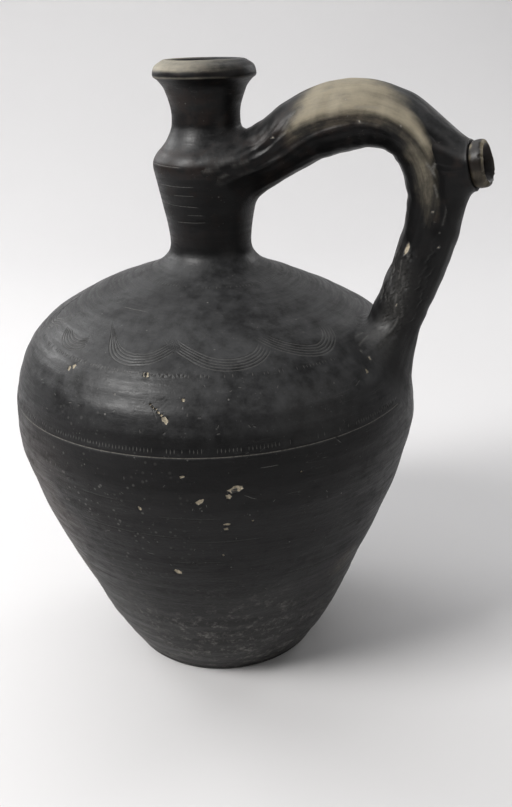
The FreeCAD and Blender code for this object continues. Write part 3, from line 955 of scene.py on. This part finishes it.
class Handle:
    """The finished surface of the handle, from which its pieces are cut."""

    def __init__(self):
        grid, along, angles, first, last, upper_normals, lower_normals = handle_grid()
        normals = grid_normals(grid)
        radius = np.interp(np.clip(along, 14, 205), handle_line.fine, handle_line.extra)[:, None]
        relief, pale = handle_marks(along, angles, radius)
        rows = np.arange(len(grid))
        fade = smoothstep(1, 8, rows) * smoothstep(1, 12, rows[::-1])
        grid = grid + normals * (relief * fade[:, None])[..., None]
        self.grid, self.along, self.angles = grid, along, angles
        self.first, self.last = first, last
        normals = grid_normals(grid)
        from_neck = (1 - smoothstep(1, BLEND_ROWS, rows))[:, None, None]
        from_shoulder = from_neck[::-1]
        normals = unit(normals * (1 - from_neck) + upper_normals * from_neck)
        self.normals = unit(normals * (1 - from_shoulder) + lower_normals * from_shoulder)
        a, t = np.broadcast_to(angles, pale.shape), np.broadcast_to(along[:, None], pale.shape)
        self.pale = np.maximum(pale, root_dust(a, t)) * fade[:, None]
        self.rubbed = rubbed_cloud(a, t)
        grain = np.stack([np.cos(a) * radius * 6, np.sin(a) * radius * 6, t * 0.8], axis=-1)
        body_grain = grain_round_axis(grid.reshape(-1, 3), length_at(grid[..., 2].ravel()))
        body_grain = body_grain.reshape(grain.shape)
        rooted = (1 - smoothstep(4, 26, rows) * smoothstep(4, 26, rows[::-1]))[:, None, None]
        self.grain = grain * (1 - rooted) + body_grain * rooted

    def at(self, t, angle):
        """Points and normals on the surface at lengths and angles, between the grid's vertices."""
        row = np.interp(t, self.along, np.arange(len(self.along)))
        column = (angle % TAU) / TAU * HANDLE_COLUMNS
        i, j = np.floor(row).astype(int), np.floor(column).astype(int)
        i = np.clip(i, 0, len(self.along) - 2)
        u, v = (row - i)[:, None], (column - j)[:, None]
        j, k = j % HANDLE_COLUMNS, (j + 1) % HANDLE_COLUMNS
        values = []
        for field in (self.grid, self.normals):
            values.append((field[i, j] * (1 - v) + field[i, k] * v) * (1 - u)
                          + (field[i + 1, j] * (1 - v) + field[i + 1, k] * v) * u)
        return values[0], unit(values[1])

    def piece(self, node, start, end, material, slot, hole=False):
        """Cuts one piece of clay out of the surface, between two of its rows, and gives it a wall."""
        n = HANDLE_COLUMNS
        faces = []
        for i in range(start, end):
            for j in range(n):
                k = (j + 1) % n
                if hole and self.in_bore(i, j):
                    continue
                base = (i - start) * n
                faces.append((base + j, base + k, base + n + k, base + n + j))
        cut = slice(start, end + 1)
        points, normals = self.grid[cut].reshape(-1, 3), self.normals[cut].reshape(-1, 3)
        points, normals, faces = thicken(points, normals, faces, HANDLE_WALL)
        attributes = {}
        for label, field in (("grain", self.grain), ("pale", self.pale), ("rubbed", self.rubbed)):
            values = field[cut].reshape(len(points) // 2, -1)
            values = np.concatenate([values, values * (1 if label == "grain" else 0)])
            attributes[label] = values if label == "grain" else values[:, 0]
        points, normals, faces, attributes = without_loose(points, normals, faces, attributes)
        finish_mesh(points, faces, normals, attributes, material, node)

    def in_bore(self, i, j):
        """Whether a face of the grid lies over the hole that the spout's bore goes through."""
        offset = self.grid[i, j] - SPOUT_FACE
        ahead = float(offset @ SPOUT_AXIS)
        aside = np.linalg.norm(offset - ahead * SPOUT_AXIS)
        return ahead > -TUBE_BEHIND_FACE and aside < SPOUT_BORE + BORE_MARGIN


def without_loose(points, normals, faces, attributes):
    """Drops vertices that no face uses."""
    used = np.unique(np.concatenate([np.asarray(face) for face in faces]))
    place = np.full(len(points), -1)
    place[used] = np.arange(len(used))
    faces = [tuple(int(place[i]) for i in face) for face in faces]
    return points[used], normals[used], faces, {k: np.asarray(v)[used] for k, v in attributes.items()}


# ---------------------------------------------------------------- the spout
SPOUT_COLUMNS = 120
SPOUT_ROWS = 44
FOOT_SPREAD = 27.5            # how far the spout's foot reaches along the tube, each way
FOOT_WRAP = math.radians(76)  # and round it
spout_up = unit(np.cross(SPOUT_AXIS, np.array([0.0, 1.0, 0.0])))
spout_side = np.cross(SPOUT_AXIS, spout_up)


def spout_ring_points(radius, behind, angles):
    """A round of points about the spout's axis, a length behind its face."""
    radius = np.broadcast_to(radius, angles.shape)[:, None]
    behind = np.broadcast_to(behind, angles.shape)[:, None]
    return (SPOUT_FACE - SPOUT_AXIS * behind + spout_up * np.cos(angles)[:, None] * radius
            + spout_side * np.sin(angles)[:, None] * radius)


def rings_mesh(rings):
    """Faces of a closed chain of rings, each with the same number of points."""
    n, m = len(rings[0]), len(rings)
    faces = []
    for i in range(m):
        for j in range(n):
            k, after = (j + 1) % n, (i + 1) % m
            faces.append((i * n + j, i * n + k, after * n + k, after * n + j))
    return np.concatenate(rings), faces


def facing_out(points, faces):
    """The faces, turned over if they enclose a negative volume."""
    volume = 0.0
    for face in faces:
        for b, c in zip(face[1:], face[2:]):
            volume += float(np.dot(points[face[0]], np.cross(points[b], points[c])))
    return faces if volume > 0 else [tuple(reversed(face)) for face in faces]


def closed_piece(node, rings, grain_scale, rubbed, material, ground=None):
    """Makes a piece from a closed chain of rings. The first rows take their shading from the ground."""
    points, faces = rings_mesh(rings)
    faces = facing_out(points - points.mean(axis=0), faces)
    triangles = np.array([t for f in faces for t in ((f[0], f[1], f[2]), (f[0], f[2], f[3]))])
    normals = vertex_normals(points, triangles)
    if ground is not None:
        row = np.arange(len(points)) // len(rings[0])
        share = np.where(row < len(rings) - 4, 1 - smoothstep(1, BLEND_ROWS, row), 0)[:, None]
        normals = unit(normals * (1 - share) + np.tile(ground, (len(rings), 1)) * share)
    attributes = {"grain": points * np.array(grain_scale), "pale": np.zeros(len(points)), "rubbed": rubbed}
    finish_mesh(points, faces, normals, attributes, material, node)


def spout_base(handle, material):
    """The flared cone of clay that carries the spout, run out over the tube."""
    angles = np.linspace(0, TAU, SPOUT_COLUMNS, endpoint=False)
    middle = handle_line.knots[9] - 1.5
    t = middle - FOOT_SPREAD * np.cos(angles)
    around = FOOT_WRAP * np.sin(angles)
    surface, normal = handle.at(t, around)
    foot = surface - normal * 0.06
    under = surface - normal * 2.0
    wave = 0.25 * np.sin(3 * angles + 1) + 0.15 * np.sin(7 * angles)
    head = spout_ring_points(11.7 + wave, RING_LENGTH, angles)
    heart = SPOUT_FACE - SPOUT_AXIS * 24
    inward = heart - foot
    inward = unit(inward - np.sum(inward * normal, axis=1, keepdims=True) * normal)
    reach = by_side(9.0, 4.0, 12.0, angles)
    grip = by_side(3.0, 4.0, 4.5, angles)
    easing = np.linspace(0, 1, SPOUT_ROWS) ** 1.1
    rows = bezier(foot, foot + inward * reach, head - SPOUT_AXIS * grip, head, easing)
    rng = random.Random(8)
    fade = np.sin(np.linspace(0, math.pi, SPOUT_ROWS)) ** 0.5
    out = unit(head - (SPOUT_FACE - SPOUT_AXIS * RING_LENGTH))
    for lobes in (2, 3, 5, 8):
        phase = rng.uniform(0, TAU)
        bump = 0.32 / lobes * np.cos(lobes * angles + phase)
        rows += (fade[:, None] * bump[None])[..., None] * out[None]
    lip = spout_ring_points(11.0 + wave, RING_LENGTH - 0.25, angles)
    bore_depths = (RING_LENGTH - 0.2, 11.0, BORE_LENGTH)
    bore = [spout_ring_points(SPOUT_BORE, behind, angles) for behind in bore_depths]
    rings = [under] + list(rows) + [lip] + bore
    unrubbed = np.zeros(len(rings) * SPOUT_COLUMNS)
    closed_piece("spout_base", rings, (0.9, 3.0, 3.0), unrubbed, material, normal)


def lobed(angles, rng, lobes):
    """How far a round is out of true: a sum of waves, each with its number of lobes and its height."""
    return sum(height * np.cos(count * angles + rng.uniform(0, TAU)) for count, height in lobes)


def from_centre(angles, centre):
    """Difference of angles in radians, from -pi to pi."""
    return (angles - centre + math.pi) % TAU - math.pi


def spout_ring(material):
    """The short ring at the end of the spout, with a worn and chipped lip and a real bore."""
    angles = np.linspace(0, TAU, SPOUT_COLUMNS * 2, endpoint=False)
    outline = [  # radius and length behind the face, from the bore's inner end round the lip to the root
        (6.0, 6.6), (6.0, 5.0), (6.15, 3.9), (6.7, 2.7), (7.4, 1.6), (8.0, 0.8), (8.6, 0.25), (9.2, 0.0),
        (9.9, 0.15), (10.5, 0.7), (10.8, 1.5), (10.9, 2.6), (10.9, 3.8), (10.8, 4.9), (10.5, 5.7),
        (10.1, 6.3), (9.7, 6.9), (8.0, 7.1),
    ]
    fine = Curve2(outline)
    rng = random.Random(14)
    uneven = lobed(angles, rng, [(1, 0.12), (2, 0.22), (3, 0.14), (5, 0.07)])
    slump = lobed(angles, rng, [(1, 0.25), (2, 0.2), (4, 0.12), (9, 0.05)])
    chips = [(rng.uniform(0, TAU), rng.uniform(0.07, 0.2), rng.uniform(0.25, 0.7)) for _ in range(11)]
    patch = np.exp(-(from_centre(angles, 2.3) / 0.75) ** 2) * (0.8 + 0.2 * np.cos(7 * angles))
    upper = np.exp(-(from_centre(angles, 0.6) / 0.7) ** 2) * (0.65 + 0.35 * np.cos(11 * angles))
    rings, wear = [], []
    for s in np.linspace(0, fine.length, 62):
        radius, behind = fine.at(s)
        outside = smoothstep(8.4, 9.6, radius)
        lip = np.exp(-((behind - 0.2) / 1.1) ** 2) * smoothstep(8.8, 9.8, radius)
        broken = np.zeros_like(angles)
        for centre, width, depth in chips:
            off = np.abs(from_centre(angles, centre))
            broken = np.maximum(broken, depth * (1 - smoothstep(0.5, 1.0, off / width)))
        face = behind + outside * (slump * (1 - behind / 8) + lip * broken)
        rings.append(spout_ring_points(radius + outside * uneven - lip * broken, face, angles))
        edge = float(np.exp(-(max(behind - 0.3, 0) / 0.8) ** 2) * smoothstep(8.3, 9.1, radius))
        root = math.exp(-((behind - 5.4) / 1.0) ** 2)
        wear.append(np.maximum.reduce([edge * (0.6 + 0.4 * np.cos(angles)), 0.62 * outside * patch,
                                       outside * root * upper]))
    closed_piece("spout_ring", rings, (4.0, 0.8, 0.8), np.concatenate(wear), material)


# ---------------------------------------------------------------- materials
class Nodes:
    """Short names for building a material's nodes."""

    def __init__(self, name):
        self.material = bpy.data.materials.new(name)
        self.material.use_nodes = True
        self.tree = self.material.node_tree
        self.tree.nodes.clear()

    def node(self, kind, inputs=None, **settings):
        node = self.tree.nodes.new(kind)
        for key, value in settings.items():
            setattr(node, key, value)
        for key, value in (inputs or {}).items():
            self.feed(node.inputs[key], value)
        return node

    def feed(self, socket, value):
        if hasattr(value, "is_output"):
            self.tree.links.new(value, socket)
        elif isinstance(value, tuple) and len(value) == 3 and socket.type == "RGBA":
            socket.default_value = (*value, 1.0)
        else:
            socket.default_value = value

    def attribute(self, name, output="Fac"):
        return self.node("ShaderNodeAttribute", attribute_name=name).outputs[output]

    def noise(self, vector, scale, detail=3.0, roughness=0.55, distortion=0.0):
        return self.node("ShaderNodeTexNoise", {
            "Vector": vector, "Scale": scale, "Detail": detail,
            "Roughness": roughness, "Distortion": distortion,
        }).outputs["Fac"]

    def cells(self, vector, scale):
        """Distance to the nearest of the points scattered in space."""
        return self.node("ShaderNodeTexVoronoi", {"Vector": vector, "Scale": scale}).outputs["Distance"]

    def math(self, operation, a, b=0.0, clamp=False):
        return self.node("ShaderNodeMath", {0: a, 1: b}, operation=operation, use_clamp=clamp).outputs[0]

    def times(self, a, b):
        return self.math("MULTIPLY", a, b)

    def plus(self, a, b):
        return self.math("ADD", a, b)

    def larger(self, a, b):
        return self.math("MAXIMUM", a, b)

    def ramp(self, value, low, high, out_low=0.0, out_high=1.0):
        return self.node("ShaderNodeMapRange", {
            "Value": value, "From Min": low, "From Max": high, "To Min": out_low, "To Max": out_high,
        }, interpolation_type="SMOOTHSTEP").outputs["Result"]

    def mix(self, factor, a, b):
        mix = self.tree.nodes.new("ShaderNodeMix")
        mix.data_type = "RGBA"
        self.feed(mix.inputs["Factor"], factor)
        colours = [socket for socket in mix.inputs if socket.type == "RGBA"]
        self.feed(colours[0], a)
        self.feed(colours[1], b)
        return [socket for socket in mix.outputs if socket.type == "RGBA"][0]

    def blob(self, position, centre, size):
        """1 at a place on the object, falling to 0 at a distance, for places in millimetres."""
        centre = tuple(c * MM for c in centre)
        distance = self.node("ShaderNodeVectorMath", {0: position, 1: centre}, operation="DISTANCE")
        return self.ramp(distance.outputs["Value"], 0.0, size * MM, 1.0, 0.0)


THIN_SMOKE = (0.0105, 0.0102, 0.011)
LOW_GREY = (0.042, 0.041, 0.040)
BLOOM_GREY = (0.21, 0.205, 0.195)
# grey of up-facing surfaces: settled dust, and a painted sheen of light
DUST_AND_SHEEN_GREY = (0.084, 0.085, 0.087)
SCUFFED_BUFF = (0.135, 0.115, 0.09)
SMOKED_BROWN = (0.034, 0.019, 0.013)
SCORED_GREY = (0.20, 0.195, 0.185)
CHIPPED_BUFF = (0.46, 0.405, 0.31)


def clay_material(slot, base, wear):
    """Black smoke-fired clay. The wear colour shows where the vertex attribute 'rubbed' says so."""
    n = Nodes(slot)
    position = n.node("ShaderNodeTexCoord").outputs["Object"]
    height = n.node("ShaderNodeSeparateXYZ", {"Vector": position}).outputs["Z"]
    normal = n.node("ShaderNodeTexCoord").outputs["Normal"]
    upward = n.node("ShaderNodeSeparateXYZ", {"Vector": normal}).outputs["Z"]
    grain = n.attribute("grain", "Vector")
    pale, rubbed = n.attribute("pale"), n.attribute("rubbed")

    cloud = n.noise(position, 24.0, 5.0, 0.62)
    mottle = n.noise(position, 150.0, 4.0, 0.65)
    speckle = n.noise(position, 800.0, 2.0, 0.6)
    band = n.noise(grain, 0.012, 4.0, 0.6)
    streak = n.noise(grain, 0.05, 5.0, 0.68)
    hair = n.noise(grain, 0.22, 2.0, 0.6)

    # Uneven smoke: greyer bands, a mottled grey bloom low on the belly, brown where the smoke was thin.
    smoke = n.times(n.ramp(band, 0.42, 0.75), n.ramp(cloud, 0.35, 0.7))
    colour = n.mix(smoke, base, THIN_SMOKE)
    low = n.ramp(n.plus(height, n.times(cloud, 0.09)), 0.14, 0.06)
    scuff = n.noise(position, 330.0, 5.0, 0.78)
    scuffed = n.plus(n.times(scuff, 1.3), n.plus(mottle, n.times(streak, 0.5)))
    bloom = n.times(n.ramp(scuffed, 1.36, 1.8), low)
    colour = n.mix(n.times(low, 0.5), colour, LOW_GREY)
    colour = n.mix(n.times(bloom, 0.95), colour, BLOOM_GREY)
    # Up-facing surfaces turn grey: partly settled dust, partly a painted sheen of light on the shoulder and
    # the neck's ridge.
    settled_dust_and_sheen = n.times(n.ramp(upward, 0.05, 0.6), n.ramp(n.plus(mottle, cloud), 0.5, 1.5))
    colour = n.mix(n.times(settled_dust_and_sheen, 0.8), colour, DUST_AND_SHEEN_GREY)
    left_patch = n.blob(position, (-60.0, -66.0, 70.0), 24.0)
    patch = n.larger(left_patch, n.blob(position, (81.0, -31.0, 72.0), 15.0))
    patch = n.times(patch, n.ramp(n.plus(scuff, streak), 0.92, 1.2))
    colour = n.mix(patch, colour, SCUFFED_BUFF)
    brown = n.times(n.blob(position, (-62.0, -78.0, 112.0), 62.0), n.ramp(cloud, 0.36, 0.62))
    neck = n.times(n.ramp(height, 0.226, 0.25), n.ramp(n.plus(band, mottle), 0.95, 1.25))
    brown = n.larger(brown, n.times(neck, 0.6))
    colour = n.mix(n.times(brown, 0.55), colour, SMOKED_BROWN)

    # Khaki grey on the handle, worn through in dark streaks along it.
    worn = n.plus(n.times(streak, 0.8), n.times(mottle, 0.5))
    worn = n.plus(worn, n.times(rubbed, 0.95))
    rub = n.times(n.ramp(worn, 0.74, 1.95), n.ramp(rubbed, 0.0, 0.35))
    colour = n.mix(n.times(rub, 0.92), colour, wear)

    # Dust and grit, hair scratches, and the pale floor of every score, tooth mark and chip; on the comb
    # grooves that paleness is partly a painted glint of light.
    powder = n.times(n.ramp(n.cells(position, 420.0), 0.17, 0.08), n.ramp(mottle, 0.5, 0.62))
    grit = n.times(n.ramp(n.cells(position, 190.0), 0.105, 0.05), n.ramp(mottle, 0.53, 0.6))
    crumbs = n.times(n.ramp(n.cells(position, 75.0), 0.05, 0.03), n.ramp(cloud, 0.46, 0.6))
    line = n.math("ABSOLUTE", n.math("SUBTRACT", n.noise(grain, 0.03, 2.0, 0.5, 0.6), 0.5))
    line = n.times(n.ramp(line, 0.004, 0.0), n.ramp(n.noise(position, 60.0, 2.0), 0.56, 0.66))
    front = n.blob(position, (-24.0, -92.0, 128.0), 74.0)
    peppered = n.times(front, n.ramp(n.noise(position, 95.0), 0.44, 0.56))
    pepper = n.times(n.ramp(n.cells(position, 300.0), 0.28, 0.14), peppered)
    grit = n.larger(grit, pepper)
    loose = n.larger(n.times(powder, 0.3), n.larger(n.times(grit, 0.6), crumbs))
    loose = n.larger(loose, n.times(line, 0.35))
    # Pale floors of the marks; on the comb grooves partly a painted glint of light.
    paleness_and_glint = n.times(pale, n.ramp(speckle, 0.3, 0.6, 0.5, 1.0))
    dust = n.larger(paleness_and_glint, n.times(loose, 0.7))
    buff = n.mix(n.ramp(pale, 0.6, 0.95), SCORED_GREY, CHIPPED_BUFF)
    colour = n.mix(dust, colour, buff)

    rough = n.plus(n.ramp(streak, 0.28, 0.72, 0.29, 0.47), n.times(hair, 0.1))
    rough = n.plus(rough, n.ramp(mottle, 0.45, 0.75, 0.0, 0.12))
    matt = n.larger(n.larger(rub, dust), bloom)
    rough = n.math("ADD", rough, n.times(matt, 0.3), clamp=True)

    surface = n.plus(n.times(streak, 0.5), n.times(hair, 0.25))
    surface = n.plus(surface, n.plus(n.times(speckle, 0.4), n.times(mottle, 0.9)))
    surface = n.math("SUBTRACT", surface, n.times(loose, 0.4))
    bump = n.node("ShaderNodeBump", {"Height": surface, "Strength": 0.36, "Distance": 0.0005})
    shader = n.node("ShaderNodeBsdfPrincipled", {
        "Base Color": colour, "Roughness": rough, "Normal": bump.outputs["Normal"],
    })
    shader.inputs["Specular IOR Level"].default_value = 0.34
    shader.inputs["IOR"].default_value = 1.5
    n.node("ShaderNodeOutputMaterial", {"Surface": shader.outputs["BSDF"]})
    return n.material


def plain_material(name, colour, roughness):
    """A matt surface with a faint unevenness of colour."""
    n = Nodes(name)
    position = n.node("ShaderNodeTexCoord").outputs["Object"]
    shade = n.mix(n.noise(position, 3.0, 2.0), colour, tuple(c * 0.97 for c in colour))
    shader = n.node("ShaderNodeBsdfPrincipled", {"Base Color": shade})
    shader.inputs["Roughness"].default_value = roughness
    shader.inputs["Specular IOR Level"].default_value = 0.2
    n.node("ShaderNodeOutputMaterial", {"Surface": shader.outputs["BSDF"]})
    return n.material


# ---------------------------------------------------------------- the jug
BLACK = (0.0045, 0.0043, 0.0046)
KHAKI = (0.37, 0.33, 0.25)
RIM_GREY = (0.40, 0.37, 0.30)
SPOUT_BLACK = (0.016, 0.012, 0.009)
SPOUT_BUFF = (0.34, 0.30, 0.22)
burnished = clay_material("burnished_black_clay", BLACK, KHAKI)
rubbed_clay = clay_material("rubbed_handle_clay", BLACK, KHAKI)
worn_rim = clay_material("worn_rim_clay", BLACK, RIM_GREY)
worn_spout = clay_material("worn_spout_clay", SPOUT_BLACK, SPOUT_BUFF)

skin = Skin()
for node, low, high in zip(SECTIONS, joints, joints[1:]):
    if node == "mouth_rim":
        thrown_piece(skin, node, low, high, worn_rim)
    else:
        thrown_piece(skin, node, low, high, burnished)

handle = Handle()
first, last, end = handle.first, handle.last, len(handle.grid) - 1
handle.piece("handle_wad_upper", 0, first, burnished, "burnished_black_clay")
handle.piece("handle_tube", first, last, rubbed_clay, "rubbed_handle_clay", hole=True)
handle.piece("handle_wad_lower", last, end, burnished, "burnished_black_clay")
spout_base(handle, rubbed_clay)
spout_ring(worn_spout)

# ---------------------------------------------------------------- studio
PAPER = (0.74, 0.733, 0.737)
SWEEP_TURN = math.radians(112)     # the direction in which the floor runs back
SWEEP_HALF_WIDTH = 3.0
BEND_START, BEND_RADIUS = 0.9, 0.6


def paper_sweep():
    """A pale floor that curves up into a backdrop behind the jug, seen from the camera."""
    bend = np.radians(range(6, 91, 6))
    profile = [(-1.6, 0.0), (0.6, 0.0), (BEND_START, 0.0)]
    profile += [(BEND_START + BEND_RADIUS * math.sin(a), BEND_RADIUS - BEND_RADIUS * math.cos(a))
                for a in bend]
    profile += [(1.5, 1.4), (1.5, 2.6)]
    points, faces = [], []
    for run, rise in profile:
        for side in (-SWEEP_HALF_WIDTH, SWEEP_HALF_WIDTH):
            points.append((run * math.cos(SWEEP_TURN) - side * math.sin(SWEEP_TURN),
                           run * math.sin(SWEEP_TURN) + side * math.cos(SWEEP_TURN), rise))
    for i in range(len(profile) - 1):
        faces.append((2 * i, 2 * i + 1, 2 * i + 3, 2 * i + 2))
    mesh = bpy.data.meshes.new("paper_sweep")
    mesh.from_pydata(points, [], faces)
    mesh.polygons.foreach_set("use_smooth", [True] * len(mesh.polygons))
    mesh.materials.append(plain_material("pale_paper", PAPER, 0.9))
    sweep = bpy.data.objects.new("paper_sweep", mesh)
    bpy.context.scene.collection.objects.link(sweep)


def softbox(name, place, target, size, energy, colour):
    """A rectangular area light in a place in metres, facing a target."""
    light = bpy.data.lights.new(name, "AREA")
    light.shape = "RECTANGLE"
    light.size, light.size_y = size
    light.energy = energy
    light.color = colour
    lamp = bpy.data.objects.new(name, light)
    lamp.location = place
    lamp.rotation_euler = (Vector(target) - Vector(place)).to_track_quat("-Z", "Y").to_euler()
    bpy.context.scene.collection.objects.link(lamp)


def round_camera(right, toward, up):
    """A place in metres given by its distances to the camera's right, toward the camera, and up."""
    turn = math.radians(CAMERA_SIDE)
    return (right * math.cos(turn) + toward * math.sin(turn),
            right * math.sin(turn) - toward * math.cos(turn), up)


SOFTBOXES = [  # name, place for round_camera, height aimed at on the jug's axis, size, watts, colour
    ("key_softbox", (-0.9, 0.5, 1.1), 0.16, (0.5, 0.5), 16.2, (1.0, 0.99, 0.975)),
    ("top_softbox", (-0.2, -0.9, 1.9), 0.0, (2.6, 2.2), 21.0, (1.0, 1.0, 1.0)),
    ("back_left_softbox", (-1.05, -0.75, 0.8), 0.2, (0.65, 0.55), 5.0, (1.0, 1.0, 1.0)),
    ("back_right_softbox", (1.1, -0.85, 0.75), 0.2, (0.55, 0.5), 3.2, (1.0, 1.0, 1.0)),
    ("low_fill", (1.2, 0.9, 0.7), 0.16, (1.2, 1.2), 4.0, (1.0, 0.98, 0.95)),
]
paper_sweep()
for name, place, aim, size, watts, colour in SOFTBOXES:
    softbox(name, round_camera(*place), (0, 0, aim), size, watts, colour)

world = bpy.data.worlds.new("studio")
world.use_nodes = True
background = world.node_tree.nodes["Background"]
background.inputs["Color"].default_value = (0.9, 0.92, 0.95, 1.0)
background.inputs["Strength"].default_value = 0.1
bpy.context.scene.world = world
bpy.context.scene.view_settings.view_transform = "Standard"
bpy.context.scene.view_settings.look = "Medium High Contrast"

CAMERA_PLACE = (0.1745, -0.4319, 0.3360)
CAMERA_TURN, CAMERA_TILT, CAMERA_ROLL = 19.363, 67.07, -1.286
lens = bpy.data.cameras.new("camera")
lens.lens = 40.32
lens.sensor_width = 36.0
camera = bpy.data.objects.new("camera", lens)
camera.matrix_world = (
    Matrix.Translation(CAMERA_PLACE)
    @ Matrix.Rotation(math.radians(CAMERA_TURN), 4, "Z")
    @ Matrix.Rotation(math.radians(CAMERA_TILT), 4, "X")
    @ Matrix.Rotation(math.radians(CAMERA_ROLL), 4, "Z")
)
bpy.context.scene.collection.objects.link(camera)
bpy.context.scene.camera = camera
